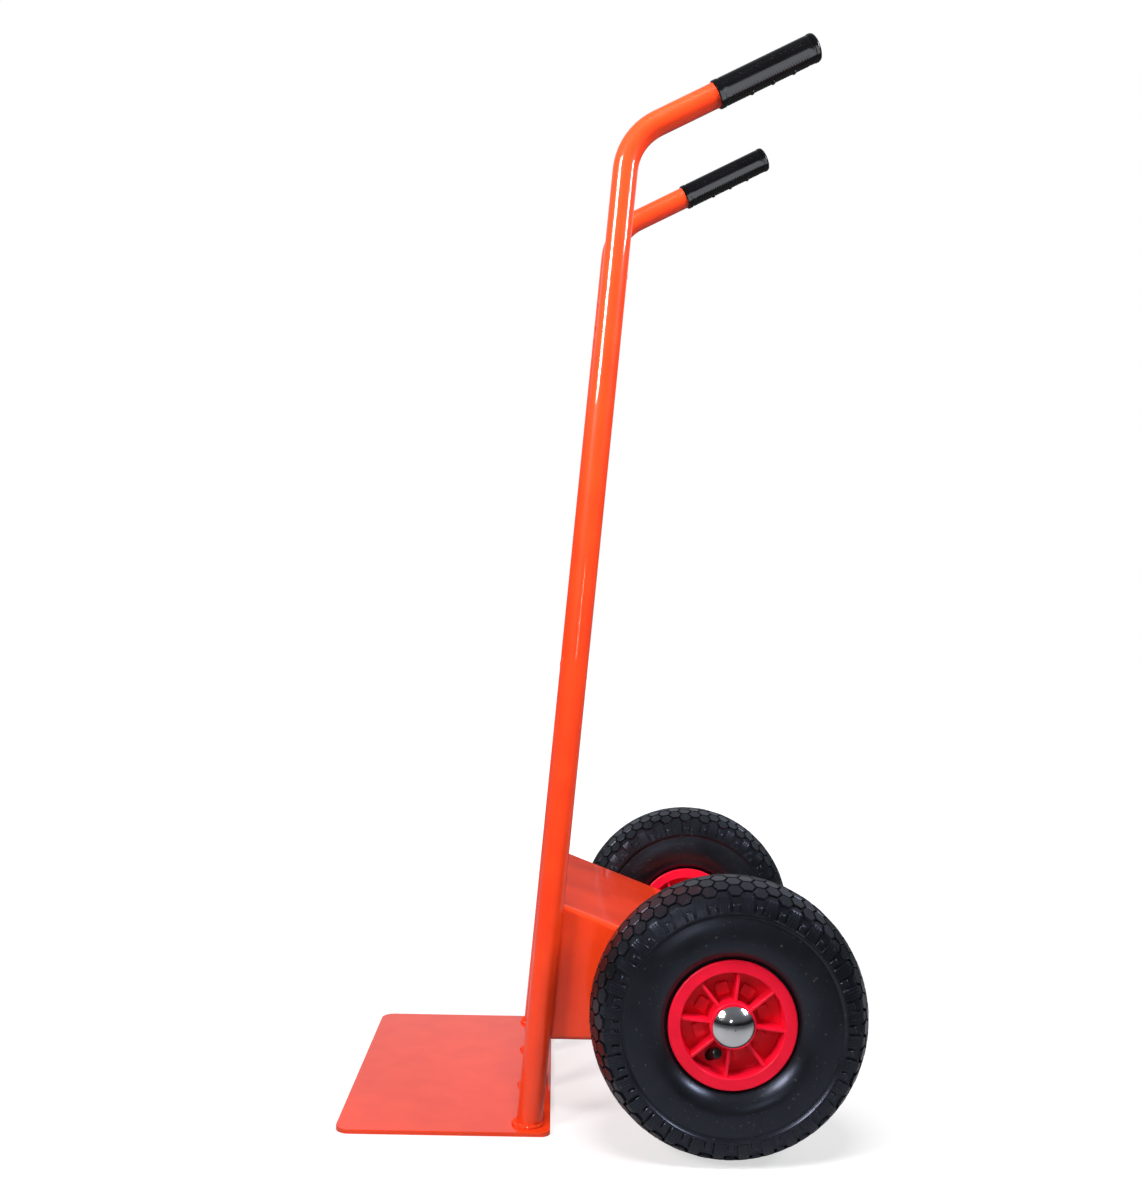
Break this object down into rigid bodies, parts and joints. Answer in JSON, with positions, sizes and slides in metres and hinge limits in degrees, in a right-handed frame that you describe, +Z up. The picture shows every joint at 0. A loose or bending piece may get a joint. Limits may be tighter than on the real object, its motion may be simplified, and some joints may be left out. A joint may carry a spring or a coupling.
{
  "type": "hand truck",
  "caption": "Upright steel hand truck with a flat toe plate, bent tube handles with moulded grips, a folded axle bracket and wheels with air-filled tyres.",
  "frame": {"origin": "on the floor, at the centre of the object's bounding box seen from above", "axes": "+X forward, towards the toe plate; +Y to the left; +Z up; the wheels turn about Y"},
  "size_m": [0.501, 0.4916, 1.0797],
  "materials": {
    "red_enamel": "gloss orange-red enamel on steel",
    "plated_steel": "zinc-plated steel",
    "chromed_steel": "polished chrome plate",
    "black_pvc": "soft moulded PVC, satin gloss",
    "tyre_rubber": "vulcanised black rubber",
    "tube_rubber": "smooth black rubber",
    "red_plastic": "raspberry-red moulded polypropylene",
    "white_nylon": "natural nylon",
    "black_cap": "moulded black plastic"
  },
  "bodies": {
    "frame": {"toe_plate": "red_enamel", "foot_welds": "red_enamel", "upper_crossbar": "red_enamel", "middle_crossbar_left": "red_enamel", "middle_crossbar_centre": "red_enamel", "middle_crossbar_right": "red_enamel", "crossbar_welds": "red_enamel", "axle_bracket": "red_enamel", "bracket_welds": "red_enamel", "axle": "plated_steel", "axle_spacers": "plated_steel", "axle_washers": "plated_steel", "push_nuts": "plated_steel", "left_frame_tube": "red_enamel", "left_inner_upright": "red_enamel", "left_grip": "black_pvc", "left_axle_cap": "chromed_steel", "right_frame_tube": "red_enamel", "right_inner_upright": "red_enamel", "right_grip": "black_pvc", "right_axle_cap": "chromed_steel"},
    "left_wheel": {"left_tyre": "tyre_rubber", "left_inner_tube": "tube_rubber", "left_rim_outer_half": "red_plastic", "left_rim_inner_half": "red_plastic", "left_rim_screws": "plated_steel", "left_bearing_rollers": "plated_steel", "left_bearing_cages": "white_nylon", "left_valve_stem": "tube_rubber", "left_valve_cap": "black_cap"},
    "right_wheel": {"right_tyre": "tyre_rubber", "right_inner_tube": "tube_rubber", "right_rim_outer_half": "red_plastic", "right_rim_inner_half": "red_plastic", "right_rim_screws": "plated_steel", "right_bearing_rollers": "plated_steel", "right_bearing_cages": "white_nylon", "right_valve_stem": "tube_rubber", "right_valve_cap": "black_cap"}
  },
  "joints": [
    {"name": "left_wheel_spin", "type": "hinge", "parent": "frame", "child": "left_wheel", "pos_m": [-0.1205, 0.2, 0.13], "axis": [0, 1, 0], "continuous": true},
    {"name": "right_wheel_spin", "type": "hinge", "parent": "frame", "child": "right_wheel", "pos_m": [-0.1205, -0.2, 0.13], "axis": [0, 1, 0], "continuous": true}
  ]
}
